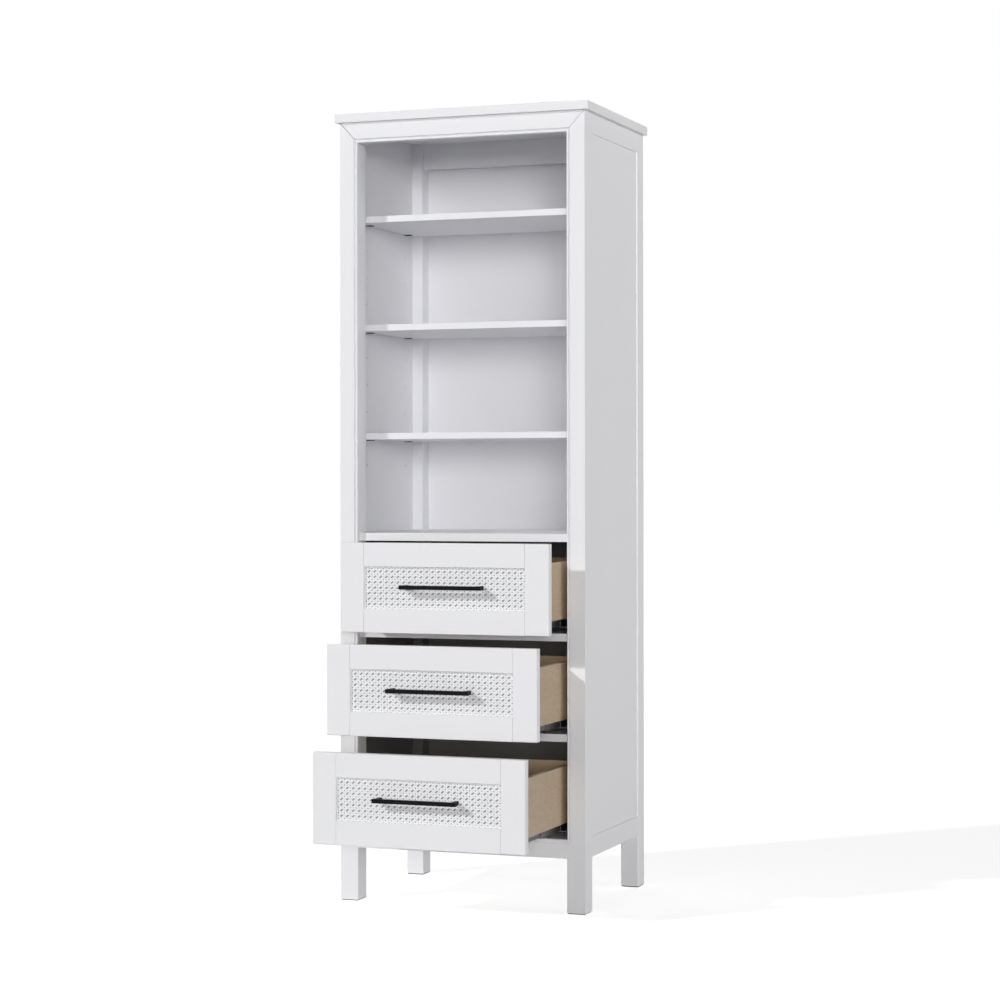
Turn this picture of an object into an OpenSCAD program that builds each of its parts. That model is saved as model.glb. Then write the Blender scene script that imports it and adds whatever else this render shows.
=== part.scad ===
// Tall linen cabinet: an open bay with adjustable shelves over three cane-front drawers.
// Millimetres. X is across, -Y is the front, +Z is up.
// The origin is on the floor, under the centre of the four posts.

/* [Cabinet] */
// Height from the floor to the upper face of the top
cabinet_h = 1800; // [1700:10:2100]
// Width across the outer faces of the posts
body_w = 590; // [500:5:760]
// Depth across the outer faces of the posts
body_d = 446; // [440:2:560]
// Height of the rails above the floor
leg_h = 122; // [60:1:200]

/* [Top] */
// Thickness of the top
top_t = 20; // [15:1:40]
// Overhang of the top past the posts at each side
top_over_side = 10; // [0:1:40]
// Overhang of the top past the posts at the front
top_over_front = 8; // [0:1:40]
// Overhang of the top past the posts at the back
top_over_back = 2; // [0:1:20]

/* [Posts and rails] */
// Width of a post, seen from the front
post_w = 43; // [36:1:60]
// Depth of a post, seen from the side
post_d = 48; // [36:1:56]
// Height of the front top rail
top_rail_w = 47; // [30:1:60]
// Height of the bottom rails at the front and the back
bottom_rail_w = 43; // [30:1:60]
// Thickness of the front and back rails
rail_t = 20; // [15:1:25]
// Height of the side rails
side_rail_w = 46; // [30:1:80]
// Height of the upper back rail
back_rail_w = 60; // [30:1:90]
// Distance of the upper back rail behind the faces of the back posts
back_rail_setback = 10; // [0:1:20]
// Thickness of the pad under each leg
pad_t = 2; // [1:0.5:5]
// Distance from a pad's edge to the edge of its leg
pad_inset = 1.5; // [0.5:0.5:8]

/* [Bead] */
// Width of the bead round the front opening
bead_w = 7.5; // [5:0.5:12]
// Width of the groove beside the bead
groove_w = 2; // [1:0.5:3]
// Depth of the groove
groove_d = 3; // [1:0.5:4]

/* [Panels] */
// Thickness of a side panel
side_t = 14; // [11:1:15]
// Distance of a side panel behind the outer faces of its posts
side_recess = 3; // [1:1:8]
// Thickness of the back panel
back_t = 6; // [3:1:10]
// Distance of the back panel in front of the posts' back faces
back_inset = 2; // [2:0.5:6]
// Overlap of the back panel on a post
back_lap = 10; // [8:1:16]
// Thickness of the bottom panel and the fixed shelf
board_t = 18; // [12:1:25]
// Thickness of a divider rail
divider_t = 17; // [12:1:25]
// Distance of the fixed shelf and the divider rails behind the front
board_setback = 16.5; // [3:0.5:25]
// Depth of a divider rail
divider_d = 70; // [40:1:100]

/* [Adjustable shelves] */
// Thickness of an adjustable shelf
shelf_t = 15; // [12:1:25]
// Gap between the front posts and the shelf
shelf_gap_front = 10; // [1:1:40]
// Gap between the back posts and the shelf
shelf_gap_back = 0.5; // [0.5:0.5:10]
// Gap between the end of a shelf and the plate of its supports
shelf_gap_end = 0.5; // [0.3:0.1:3]
// Distance of the rows of pin holes from the fixed shelf and from the top of the opening
pin_margin = 155.5; // [120:0.5:180]
// Distance from one row of pin holes to the next
pin_pitch = 62.5; // [50:0.5:64]
// Distance of the front pin holes behind the front posts
pin_front_y = 68; // [30:1:120]
// Distance of the back pin holes in front of the back posts
pin_back_y = 48.5; // [30:0.5:120]
// Diameter of a pin hole
pin_hole_dia = 5; // [4:0.5:7]
// Depth of a pin hole
pin_hole_depth = 9; // [6:0.5:10]

/* [Shelf supports] */
// Radial clearance of a pin in its hole
pin_clear = 0.05; // [0.02:0.01:0.1]
// Gap between the end of a pin and the bottom of its hole
pin_end_gap = 1; // [0.5:0.5:3]
// Thickness of the support's plate and of its ledge
support_t = 1.5; // [1:0.1:3]
// Width of a support
support_w = 14; // [10:1:20]
// Reach of a support's ledge under the shelf
support_reach = 15; // [8:1:24]
// Height of the hole's centre above the underside of the shelf
support_drop = 4; // [3.5:0.5:8]
// Height of the support's plate above the hole's centre
support_rise = 5; // [3.5:0.5:8]

/* [Drawer bays] */
// Height of the bottom drawer's bay
bottom_bay_h = 214; // [204:0.5:230]
// Height of the middle drawer's bay
middle_bay_h = 206.5; // [204:0.5:230]
// Height of the top drawer's bay
top_bay_h = 204; // [204:0.5:230]
// How far the bottom drawer stands open
bottom_open = 261; // [0:1:350]
// How far the middle drawer stands open
middle_open = 185; // [0:1:350]
// How far the top drawer stands open
top_open = 107; // [0:1:350]

/* [Drawer fronts] */
// Thickness of a drawer front
front_t = 20; // [17:1:24]
// Gap at each side of a drawer front
front_gap_side = 5; // [2:0.5:8]
// Height of a drawer front
front_h = 201.5; // [170:0.5:202]
// Gap below a drawer front
front_gap_z = 1; // [0.5:0.5:1.5]
// Width of a stile of a drawer front
front_stile_w = 55.5; // [40:0.5:58]
// Height of a rail of a drawer front
front_rail_w = 53.5; // [40:0.5:62]
// Depth of the cane panel behind the face of its frame
cane_recess = 5; // [2:0.5:8]

/* [Drawer boxes] */
// Thickness of the sides and ends of a box
box_t = 12; // [10:0.5:16]
// Height of a box side
box_h = 128; // [110:1:140]
// Depth of a box
box_d = 370; // [360:1:375]
// Gap between a box side and the post beside it
box_side_gap = 12; // [9:0.5:16]
// Height of a box side above the lower edge of its front
box_rise = 31.5; // [28:0.5:40]
// Height of the drawer bottom above the lower edge of a box side
bottom_rise = 13; // [11:0.5:16]
// Thickness of the drawer bottom
bottom_t = 6; // [4:0.5:10]

/* [Slides] */
// Length of every slide member
slide_l = 350; // [300:1:360]
// Distance of the slide's front end behind a closed drawer front
slide_setback = 3; // [1:0.5:8]
// Thickness of the slide's steel
steel_t = 1.5; // [1:0.1:1.8]
// Running clearance between slide members
slide_clear = 0.4; // [0.2:0.05:0.6]
// Height of a slide, from its web to the drawer bottom
slide_h = 32; // [30:0.5:36]
// Height of the flange on the cleat
slide_flange_h = 26; // [20:1:30]
// Height of the middle member above the guide walls
guide_step = 2; // [1:0.5:5]
// Gap between the middle member and the locking clip
middle_gap = 0.5; // [0.3:0.1:1.5]
// Inner width of the guide
guide_w = 22; // [18:0.5:30]
// Reach of the guide under the box side
guide_reach = 2; // [1.6:0.1:4]
// Length of the locking clip at the front of a drawer member
clip_l = 45; // [20:1:60]
// Reach of the locking clip under the box side
clip_reach = 11; // [5:0.5:12]
// Thickness of the locking clip
clip_t = 2.5; // [1.5:0.1:2.8]
// Height of a cleat
cleat_h = 40; // [30:1:60]

/* [Pulls] */
// Length of a pull
pull_l = 196; // [140:1:300]
// Thickness of the pull's square bar
pull_s = 9; // [7:0.5:14]
// Distance between the centres of the pull's posts
pull_pitch = 178; // [96:1:180]
// Space between the cane panel and the bar
pull_clear = 20; // [12:0.5:35]
// Height of a pull above the middle of its drawer front
pull_rise = 2.5; // [0:0.5:20]
// Diameter of the pull's screws
screw_dia = 4; // [3:0.5:5]
// Radial clearance of a screw in the wood
screw_clear = 0.25; // [0.1:0.05:0.5]
// Radial clearance of a screw in the pull
thread_clear = 0.05; // [0.02:0.01:0.1]
// Length of screw in the pull
screw_grip = 9; // [6:0.5:11]
// Length of the tapped hole past the end of the screw
tap_spare = 1.5; // [0.5:0.5:3]
// Diameter of a screw's head
screw_head_dia = 8; // [6.5:0.5:10]
// Height of a screw's head
screw_head_h = 2.5; // [2:0.1:4]

/* [Back screws] */
// Number of screws on each side of the back panel
back_screw_count = 5; // [3:1:9]
// Distance of the outer screws from the ends of the back panel
back_screw_end = 60; // [20:5:120]
// Diameter of a back screw
back_screw_dia = 3; // [2.5:0.5:4]
// Radial clearance of a back screw
back_screw_clear = 0.05; // [0.02:0.01:0.1]
// Length of a back screw in the post
back_screw_grip = 10; // [6:1:20]
// Diameter of a back screw's head
back_head_dia = 7; // [5:0.5:9]
// Height of a back screw's head
back_head_h = 1.8; // [1:0.1:2]

/* [Hidden] */
$fn = 48;

// Colours
paint = [0.90, 0.90, 0.91];
birch = [0.80, 0.70, 0.54];
pine = [0.74, 0.62, 0.44];
cane = [0.86, 0.86, 0.85];
black = [0.05, 0.05, 0.05];
zinc = [0.62, 0.63, 0.65];

// A little extra length for cuts
cut = 1;

// Levels and faces of the case
post_x = body_w / 2;
open_x = post_x - post_w;
front_y = -body_d / 2;
back_y = body_d / 2;
bay_y0 = front_y + post_d;
bay_y1 = back_y - post_d;
wall_x = post_x - side_recess - side_t;
case_top = cabinet_h - top_t;
opening_z0 = leg_h + bottom_rail_w;
opening_z1 = case_top - top_rail_w;
back_panel_y1 = back_y - back_inset;
back_panel_y0 = back_panel_y1 - back_t;

// The three drawers, from the bottom up
BOTTOM = 0;
MIDDLE = 1;
TOP = 2;
fixed_shelf_z = bay_z(TOP) + bay_h(TOP);

// Rows of pin holes, and the shelves spread over them
pin_y0 = bay_y0 + pin_front_y;
pin_y1 = bay_y1 - pin_back_y;
pin_first_z = fixed_shelf_z + board_t + pin_margin;
pin_rows = 1 + floor((opening_z1 - pin_margin - pin_first_z) / pin_pitch);
shelf_step = floor((pin_rows - 2) / 2);

// Drawer parts
front_x = open_x - front_gap_side;
stile_x = front_x - front_stile_w;
box_x = open_x - box_side_gap;
box_in_x = box_x - box_t;
pull_x = pull_pitch / 2;

// Slide profile, from the outside in
guide_x1 = box_in_x + guide_reach - steel_t;
guide_x0 = guide_x1 - guide_w;

function bay_h(d) = [bottom_bay_h, middle_bay_h, top_bay_h][d];
function bay_z(d) =
  opening_z0 + (d > BOTTOM ? bottom_bay_h + divider_t : 0) + (d > MIDDLE ? middle_bay_h + divider_t : 0);
function drawer_open(d) = [bottom_open, middle_open, top_open][d];
function pin_z(row) = pin_first_z + row * pin_pitch;
function shelf_row(n) = 1 + n * shelf_step;
function shelf_z(n) = pin_z(shelf_row(n)) - support_drop;
function front_z0(d) = bay_z(d) + front_gap_z;
function front_z1(d) = front_z0(d) + front_h;
function pull_z(d) = front_z0(d) + front_h / 2 + pull_rise;
function box_z0(d) = front_z0(d) + box_rise;
function bottom_z0(d) = box_z0(d) + bottom_rise;
function web_z(d) = bottom_z0(d) - slide_h;
function middle_z1(d) = box_z0(d) - clip_t - middle_gap;
function back_screw_z(i) =
  leg_h + back_screw_end + i * (case_top - leg_h - 2 * back_screw_end) / (back_screw_count - 1);

// A box given by its two corners
module block(low, high) {
  translate(low) cube(high - low);
}

module both_sides() {
  children();
  mirror([1, 0, 0]) children();
}

// Right half pieces are drawn at +X, left ones are their mirror image
module left() {
  mirror([1, 0, 0]) children();
}

// Outline of the front top rail, whose ends are mitred to the posts
module mitred_rail(depth) {
  translate([0, front_y, 0])
    rotate([90, 0, 0])
      translate([0, 0, -depth])
        linear_extrude(depth)
          polygon([
            [-post_x, case_top],
            [post_x, case_top],
            [open_x, opening_z1],
            [-open_x, opening_z1]
          ]);
}

// Groove round the front opening, which leaves the bead
module groove_ring() {
  x = open_x + bead_w;
  z0 = opening_z0 - bead_w;
  z1 = opening_z1 + bead_w;
  difference() {
    block(
      [-x - groove_w, front_y - cut, z0 - groove_w],
      [x + groove_w, front_y + groove_d, z1 + groove_w]
    );
    block([-x, front_y - 2 * cut, z0], [x, front_y + groove_d + cut, z1]);
  }
}

// Front post at +X
module front_post() {
  color(paint)
    difference() {
      block([open_x, front_y, pad_t], [post_x, bay_y0, case_top]);
      mitred_rail(rail_t);
      groove_ring();
    }
}

// Back post at +X, with the rabbet of the back panel
module back_post() {
  color(paint)
    difference() {
      block([open_x, bay_y1, pad_t], [post_x, back_y, case_top]);
      block(
        [open_x - cut, back_panel_y0, leg_h],
        [open_x + back_lap, back_y + cut, case_top + cut]
      );
      back_screw_holes(back_panel_y0 - back_screw_grip - cut, back_panel_y0 + cut);
    }
}

module back_screw_holes(y0, y1) {
  for (i = [0 : back_screw_count - 1])
    translate([open_x + back_lap / 2, y0, back_screw_z(i)])
      rotate([-90, 0, 0]) cylinder(h = y1 - y0, d = back_screw_dia + 2 * back_screw_clear);
}

module top_panel() {
  color(paint)
    block(
      [-post_x - top_over_side, front_y - top_over_front, case_top],
      [post_x + top_over_side, back_y + top_over_back, cabinet_h]
    );
}

module front_top_rail() {
  color(paint)
    difference() {
      mitred_rail(rail_t);
      groove_ring();
    }
}

module front_bottom_rail() {
  color(paint)
    difference() {
      block([-open_x, front_y, leg_h], [open_x, front_y + rail_t, opening_z0]);
      groove_ring();
    }
}

// Side rail at +X, with its lower edge at z0
module side_rail(z0) {
  color(paint) block([wall_x, bay_y0, z0], [post_x, bay_y1, z0 + side_rail_w]);
}

// Side panel at +X, with its rows of pin holes
module side_panel() {
  color(paint)
    difference() {
      block(
        [wall_x, bay_y0, leg_h + side_rail_w],
        [wall_x + side_t, bay_y1, case_top - side_rail_w]
      );
      for (row = [0 : pin_rows - 1], y = [pin_y0, pin_y1])
        translate([wall_x - cut, y, pin_z(row)])
          rotate([0, 90, 0]) cylinder(h = pin_hole_depth + cut, d = pin_hole_dia);
    }
}

module back_panel() {
  color(paint)
    difference() {
      block(
        [-open_x - back_lap, back_panel_y0, leg_h],
        [open_x + back_lap, back_panel_y1, case_top]
      );
      both_sides() back_screw_holes(back_panel_y0 - cut, back_panel_y1 + cut);
    }
}

module back_top_rail() {
  y = bay_y1 + back_rail_setback;
  color(paint) block([-open_x, y, case_top - back_rail_w], [open_x, y + rail_t, case_top]);
}

module back_bottom_rail() {
  color(paint) block([-open_x, bay_y1, leg_h], [open_x, bay_y1 + rail_t, opening_z0]);
}

// Board between the side panels, notched round the posts, from y0 to y1
module notched_board(z0, y0, y1) {
  color(paint) {
    block([-open_x, y0, z0], [open_x, y1, z0 + board_t]);
    block([-wall_x, bay_y0, z0], [wall_x, bay_y1, z0 + board_t]);
  }
}

module fixed_shelf() {
  notched_board(fixed_shelf_z, front_y + board_setback, back_panel_y0);
}

// Floor of the drawer bay, level with the tops of the front and back rails
module bottom_panel() {
  notched_board(opening_z0 - board_t, front_y + rail_t, bay_y1);
}

// Rail above drawer bay d, between the front posts
module divider_rail(d) {
  z0 = bay_z(d) + bay_h(d);
  color(paint)
    block(
      [-open_x, front_y + board_setback, z0],
      [open_x, front_y + board_setback + divider_d, z0 + divider_t]
    );
}

// Cleats that bring the slides level with the posts
module slide_cleats() {
  color(pine)
    for (d = [BOTTOM, MIDDLE, TOP])
      both_sides()
        block([open_x, bay_y0, web_z(d)], [wall_x, bay_y1, web_z(d) + cleat_h]);
}

module leg_pads() {
  color(black)
    for (y = [front_y, bay_y1])
      both_sides()
        block(
          [open_x + pad_inset, y + pad_inset, 0],
          [post_x - pad_inset, y + post_d - pad_inset, pad_t]
        );
}

// Angled shelf support at +X: a pin, a plate on the wall and a ledge
module shelf_support() {
  pin_l = pin_hole_depth - pin_end_gap;
  plate_x = wall_x - support_t;
  low = -support_drop - support_t;
  translate([plate_x, 0, 0])
    rotate([0, 90, 0]) cylinder(h = pin_l + support_t, d = pin_hole_dia - 2 * pin_clear);
  block([plate_x, -support_w / 2, low], [wall_x, support_w / 2, support_rise]);
  block([plate_x - support_reach, -support_w / 2, low], [plate_x, support_w / 2, -support_drop]);
}

module shelf_supports() {
  color(black)
    for (n = [0 : 2], y = [pin_y0, pin_y1])
      both_sides() translate([0, y, pin_z(shelf_row(n))]) shelf_support();
}

module back_screws() {
  color(zinc)
    for (i = [0 : back_screw_count - 1])
      both_sides()
        translate([open_x + back_lap / 2, back_panel_y1, back_screw_z(i)])
          rotate([90, 0, 0]) {
            cylinder(h = back_t + back_screw_grip, d = back_screw_dia);
            translate([0, 0, -back_head_h]) cylinder(h = back_head_h, d = back_head_dia);
          }
}

// Adjustable shelf, counted from the lowest
module shelf(n) {
  x = wall_x - support_t - shelf_gap_end;
  color(paint)
    block(
      [-x, bay_y0 + shelf_gap_front, shelf_z(n)],
      [x, bay_y1 - shelf_gap_back, shelf_z(n) + shelf_t]
    );
}

// Puts a drawer's pieces where the drawer stands open
module pulled_out(d, share = 1) {
  translate([0, -drawer_open(d) * share, 0]) children();
}

module drawer_stiles(d) {
  color(paint)
    pulled_out(d)
      both_sides()
        block([stile_x, front_y, front_z0(d)], [front_x, front_y + front_t, front_z1(d)]);
}

module drawer_rails(d) {
  color(paint)
    pulled_out(d)
      for (z = [front_z0(d), front_z1(d) - front_rail_w])
        block([-stile_x, front_y, z], [stile_x, front_y + front_t, z + front_rail_w]);
}

// Holes or shanks of the pull's screws, from y0 to y1 of a closed drawer
module pull_bores(d, y0, y1, dia) {
  both_sides()
    translate([pull_x, y0, pull_z(d)])
      rotate([-90, 0, 0]) cylinder(h = y1 - y0, d = dia);
}

module drawer_cane_panel(d) {
  color(cane)
    pulled_out(d)
      difference() {
        block(
          [-stile_x, front_y + cane_recess, front_z0(d) + front_rail_w],
          [stile_x, front_y + front_t, front_z1(d) - front_rail_w]
        );
        pull_bores(d, front_y, front_y + front_t + cut, screw_dia + 2 * screw_clear);
      }
}

// Square bar on two posts, seated on the cane panel
module drawer_pull(d) {
  seat_y = front_y + cane_recess;
  bar_y = seat_y - pull_clear;
  s = pull_s / 2;
  z = pull_z(d);
  color(black)
    pulled_out(d)
      difference() {
        union() {
          block([-pull_l / 2, bar_y - pull_s, z - s], [pull_l / 2, bar_y, z + s]);
          both_sides() block([pull_x - s, bar_y - s, z - s], [pull_x + s, seat_y, z + s]);
        }
        pull_bores(
          d, seat_y - screw_grip - tap_spare, seat_y + cut, screw_dia + 2 * thread_clear
        );
      }
}

module drawer_pull_screws(d) {
  head_y = front_y + front_t + box_t;
  color(zinc)
    pulled_out(d) {
      pull_bores(d, front_y + cane_recess - screw_grip, head_y, screw_dia);
      pull_bores(d, head_y, head_y + screw_head_h, screw_head_dia);
    }
}

module drawer_box_sides(d) {
  y = front_y + front_t;
  color(birch)
    pulled_out(d)
      both_sides()
        block([box_in_x, y, box_z0(d)], [box_x, y + box_d, box_z0(d) + box_h]);
}

// Front and back of the box, from the drawer bottom up
module drawer_box_ends(d) {
  y = front_y + front_t;
  color(birch)
    pulled_out(d)
      difference() {
        for (end_y = [y, y + box_d - box_t])
          block(
            [-box_in_x, end_y, bottom_z0(d)],
            [box_in_x, end_y + box_t, box_z0(d) + box_h]
          );
        pull_bores(d, y - cut, y + box_t + cut, screw_dia + 2 * screw_clear);
      }
}

module drawer_bottom(d) {
  y = front_y + front_t;
  color(birch)
    pulled_out(d)
      block(
        [-box_in_x, y + box_t, bottom_z0(d)],
        [box_in_x, y + box_d - box_t, bottom_z0(d) + bottom_t]
      );
}

// Stretches a slide member's profile along its length, with x across and y up
module along_slide() {
  translate([0, front_y + front_t + slide_setback + slide_l, 0])
    rotate([90, 0, 0]) linear_extrude(slide_l) children();
}

// Rectangle from one corner to the other
module patch(low, high) {
  translate(low) square(high - low);
}

// Member screwed to the cleat: a web, a flange and two guide walls
module slide_cabinet_members(d) {
  z = web_z(d);
  color(zinc)
    both_sides()
      along_slide() {
        patch([guide_x0 - steel_t, z], [open_x, z + steel_t]);
        patch([open_x - steel_t, z], [open_x, z + slide_flange_h]);
        for (x = [guide_x0 - steel_t, guide_x1])
          patch([x, z], [x + steel_t, middle_z1(d) - guide_step]);
      }
}

// Member that runs between the other two
module slide_middle_members(d) {
  z = web_z(d) + steel_t + slide_clear;
  x0 = guide_x0 + slide_clear;
  x1 = guide_x1 - slide_clear;
  color(zinc)
    pulled_out(d, 1 / 2)
      both_sides()
        along_slide()
          difference() {
            patch([x0, z], [x1, middle_z1(d)]);
            patch([x0 + steel_t, z + steel_t], [x1 - steel_t, middle_z1(d) + cut]);
          }
}

// Member under the drawer, with its locking clip under the box side
module drawer_runners(d) {
  z0 = web_z(d) + 2 * (steel_t + slide_clear);
  z1 = bottom_z0(d);
  x0 = guide_x0 + steel_t + 2 * slide_clear;
  x1 = guide_x1 - steel_t - 2 * slide_clear;
  y = front_y + front_t + slide_setback;
  color(zinc)
    pulled_out(d)
      both_sides() {
        along_slide() {
          patch([x0, z1 - steel_t], [box_in_x, z1]);
          patch([x0, z0], [x0 + steel_t, z1]);
          patch([x1 - steel_t, z0], [x1, z1]);
        }
        block(
          [x1 - steel_t, y, box_z0(d) - clip_t],
          [box_in_x + clip_reach, y + clip_l, box_z0(d)]
        );
      }
}

top_panel();
left() front_post();  // front_left_post
front_post();  // front_right_post
left() back_post();  // back_left_post
back_post();  // back_right_post
front_top_rail();
front_bottom_rail();
left() side_panel();  // left_side_panel
side_panel();  // right_side_panel
left() side_rail(case_top - side_rail_w);  // left_top_side_rail
side_rail(case_top - side_rail_w);  // right_top_side_rail
left() side_rail(leg_h);  // left_bottom_side_rail
side_rail(leg_h);  // right_bottom_side_rail
back_panel();
back_top_rail();
back_bottom_rail();
fixed_shelf();
divider_rail(MIDDLE);  // upper_divider_rail
divider_rail(BOTTOM);  // lower_divider_rail
bottom_panel();
slide_cleats();
leg_pads();
shelf_supports();
back_screws();
shelf(2);  // upper_shelf
shelf(1);  // middle_shelf
shelf(0);  // lower_shelf

drawer_stiles(TOP);  // top_drawer_stiles
drawer_rails(TOP);  // top_drawer_rails
drawer_cane_panel(TOP);  // top_drawer_cane_panel
drawer_pull(TOP);  // top_drawer_pull
drawer_pull_screws(TOP);  // top_drawer_pull_screws
drawer_box_sides(TOP);  // top_drawer_box_sides
drawer_box_ends(TOP);  // top_drawer_box_ends
drawer_bottom(TOP);  // top_drawer_bottom
drawer_runners(TOP);  // top_drawer_runners
slide_middle_members(TOP);  // top_slide_middle_members
slide_cabinet_members(TOP);  // top_slide_cabinet_members

drawer_stiles(MIDDLE);  // middle_drawer_stiles
drawer_rails(MIDDLE);  // middle_drawer_rails
drawer_cane_panel(MIDDLE);  // middle_drawer_cane_panel
drawer_pull(MIDDLE);  // middle_drawer_pull
drawer_pull_screws(MIDDLE);  // middle_drawer_pull_screws
drawer_box_sides(MIDDLE);  // middle_drawer_box_sides
drawer_box_ends(MIDDLE);  // middle_drawer_box_ends
drawer_bottom(MIDDLE);  // middle_drawer_bottom
drawer_runners(MIDDLE);  // middle_drawer_runners
slide_middle_members(MIDDLE);  // middle_slide_middle_members
slide_cabinet_members(MIDDLE);  // middle_slide_cabinet_members

drawer_stiles(BOTTOM);  // bottom_drawer_stiles
drawer_rails(BOTTOM);  // bottom_drawer_rails
drawer_cane_panel(BOTTOM);  // bottom_drawer_cane_panel
drawer_pull(BOTTOM);  // bottom_drawer_pull
drawer_pull_screws(BOTTOM);  // bottom_drawer_pull_screws
drawer_box_sides(BOTTOM);  // bottom_drawer_box_sides
drawer_box_ends(BOTTOM);  // bottom_drawer_box_ends
drawer_bottom(BOTTOM);  // bottom_drawer_bottom
drawer_runners(BOTTOM);  // bottom_drawer_runners
slide_middle_members(BOTTOM);  // bottom_slide_middle_members
slide_cabinet_members(BOTTOM);  // bottom_slide_cabinet_members
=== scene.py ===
"""Dressed version of the tall cabinet with cane-front drawers. Lengths are in mm until to_m()."""
import math

import bmesh
import bpy
import numpy as np
from mathutils import Matrix, Vector


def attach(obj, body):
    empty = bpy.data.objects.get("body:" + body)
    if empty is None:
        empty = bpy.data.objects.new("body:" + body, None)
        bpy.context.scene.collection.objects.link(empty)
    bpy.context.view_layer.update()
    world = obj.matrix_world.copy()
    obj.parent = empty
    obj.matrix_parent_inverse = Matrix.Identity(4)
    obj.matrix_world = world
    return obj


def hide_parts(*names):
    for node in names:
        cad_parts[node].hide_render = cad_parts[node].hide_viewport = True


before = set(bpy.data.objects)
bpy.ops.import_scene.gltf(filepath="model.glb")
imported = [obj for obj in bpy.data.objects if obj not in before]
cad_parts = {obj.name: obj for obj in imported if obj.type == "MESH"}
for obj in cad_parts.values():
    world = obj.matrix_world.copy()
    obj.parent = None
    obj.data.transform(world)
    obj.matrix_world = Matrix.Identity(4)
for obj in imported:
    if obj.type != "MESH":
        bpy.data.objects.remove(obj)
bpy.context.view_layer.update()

MM = 0.001

# Camera at the photograph's angle. CAM_AT and CAM_FAR are in metres, the turns in degrees
CAM_LENS = 89.02
CAM_SENSOR = 36
CAM_AT = (2.00634, -5.41514, 0.95757)
CAM_YAW = 20.73
CAM_ROLL = -0.08
CAM_SHIFT = (0.02249, -0.01811)
CAM_FAR = 200

# Lamps: the light's direction, its strength, and the lamp's width in degrees. LAMP_AT is in metres
LAMPS = {
    "key": ((0.9, 1.0, -0.7), 1.56, 3.0),
    "front": ((-0.35, 0.93, -0.06), 1.42, 20),
    "right": ((-0.6, 0.8, -0.06), 0.3, 20),
    "side": ((-1.0, 0.0, -0.1), 1.28, 40),
    "rear": ((0.8, -0.75, -0.5), 0.5, 40),
}
LAMP_AT = (-2, -2.5, 3)
SKY = 0.0
FLOOR_GLOW = 0.82
FLOOR_GREY = 0.60
FLOOR_HALF = 40000
FLOOR_T = 20

# Case, as in the part's source
POST_X = 295
OPEN_X = 252
WALL_X = 278
FRONT_Y = -223
BACK_Y = 223
BAY_Y0 = -175
BAY_Y1 = 175
POST_D = 48
RAIL_T = 20
LEG_H = 122
CASE_TOP = 1780
TOP_LOW = (-305, -231, CASE_TOP)
TOP_HIGH = (305, 225, 1800)
OPEN_Z0 = 165
OPEN_Z1 = 1733
SIDE_RAIL = 46
BACK_Y0 = 215
BACK_Y1 = 221
BACK_LAP = 10
BACK_RAILS = {
    "back_top_rail": (BAY_Y1 + 10, 1720, CASE_TOP),
    "back_bottom_rail": (BAY_Y1, LEG_H, OPEN_Z0),
}
BOTTOM_BOARD_T = 18
INNER_Y = -206.5
FIXED_SHELF = (823.5, 841.5)
DIVIDERS = {"lower_divider_rail": 379, "upper_divider_rail": 602.5}
DIVIDER_Y1 = -136.5
DIVIDER_T = 17
SHELVES = {"lower": 1055.5, "middle": 1305.5, "upper": 1555.5}
SHELF_X = 276
SHELF_Y = (-165, 174.5)
SHELF_T = 15
CLEAT_RISE = 12.5
CLEAT_H = 40
PAD_T = 2
PAD_IN = 1.5

# Bead and groove round the front opening, and the ring that is cut away for them
BEAD_W = 5.2
BEAD_RISE = 4
BEAD_STEPS = 14
GROOVE_D = 5.5
GROOVE_SLANT = 0.2
RING_W = 8.8
RING_D = 6.5
CUT = 1
PAST_CASE = 300
MITRE_GAP = 1.2

# Shelf supports. The pin's profile is (distance, radius), outwards from the plate's inner face
PIN_YS = (-107, 126.5)
PIN_RISE = 4
SUPPORT_T = 1.5
SUPPORT_HALF = 7.0
SUPPORT_REACH = 15
SUPPORT_RISE = 5
BEND_R = 0.8
BEND_STEPS = 6
PIN_PROFILE = [(-0.5, 2.6), (-0.2, 3.2), (SUPPORT_T, 3.2), (SUPPORT_T, 2.45), (8.6, 2.45),
               (9.2, 2.0)]

# Screws. The numbers of a head's profile, (radius, height), and cross are parts of its own size
BACK_SCREW = {"dia": 7, "height": 1.8, "shank": 15, "shank_dia": 3}
BACK_SCREW_X = 257
BACK_SCREW_Z0 = 182
BACK_SCREW_PITCH = 384.5
BACK_SCREW_ROWS = 5
PULL_SCREW = {"dia": 8, "height": 2.5, "shank": 36, "shank_dia": 4}
HEAD_PROFILE = [(1.0, 0.0), (1.0, 0.45), (0.95, 0.72), (0.84, 0.9), (0.7, 1.0)]
HEAD_STEPS = 36
CROSS_ARM = 0.62
CROSS_SLOT = 0.17
CROSS_DEPTH = 0.55
CROSS_TAPER = 0.8
SHANK_STEPS = 16
SHANK_POINT = 1

# Drawers
DRAWERS = {
    "bottom": {"open": 261, "z0": 166, "z1": 367.5},
    "middle": {"open": 185, "z0": 397, "z1": 598.5},
    "top": {"open": 107, "z0": 620.5, "z1": 822},
}
DRAWER_X = 247
DRAWER_T = 20
STILE_X = 191.5
FRONT_RAIL = 53.5
JOINT_GAP = 0.5
PULL_HALF = 97
PULL_S = 9
PULL_OUT = 24
PULL_POST_X = 89
PULL_RISE = 2.5
PULL_OVERLAP = 1
BOX_X = 240
BOX_T = 12
BOX_H = 128
BOX_D = 370
BOX_RISE = 31.5
BOTTOM_RISE = 13
BOTTOM_T = 6

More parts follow.
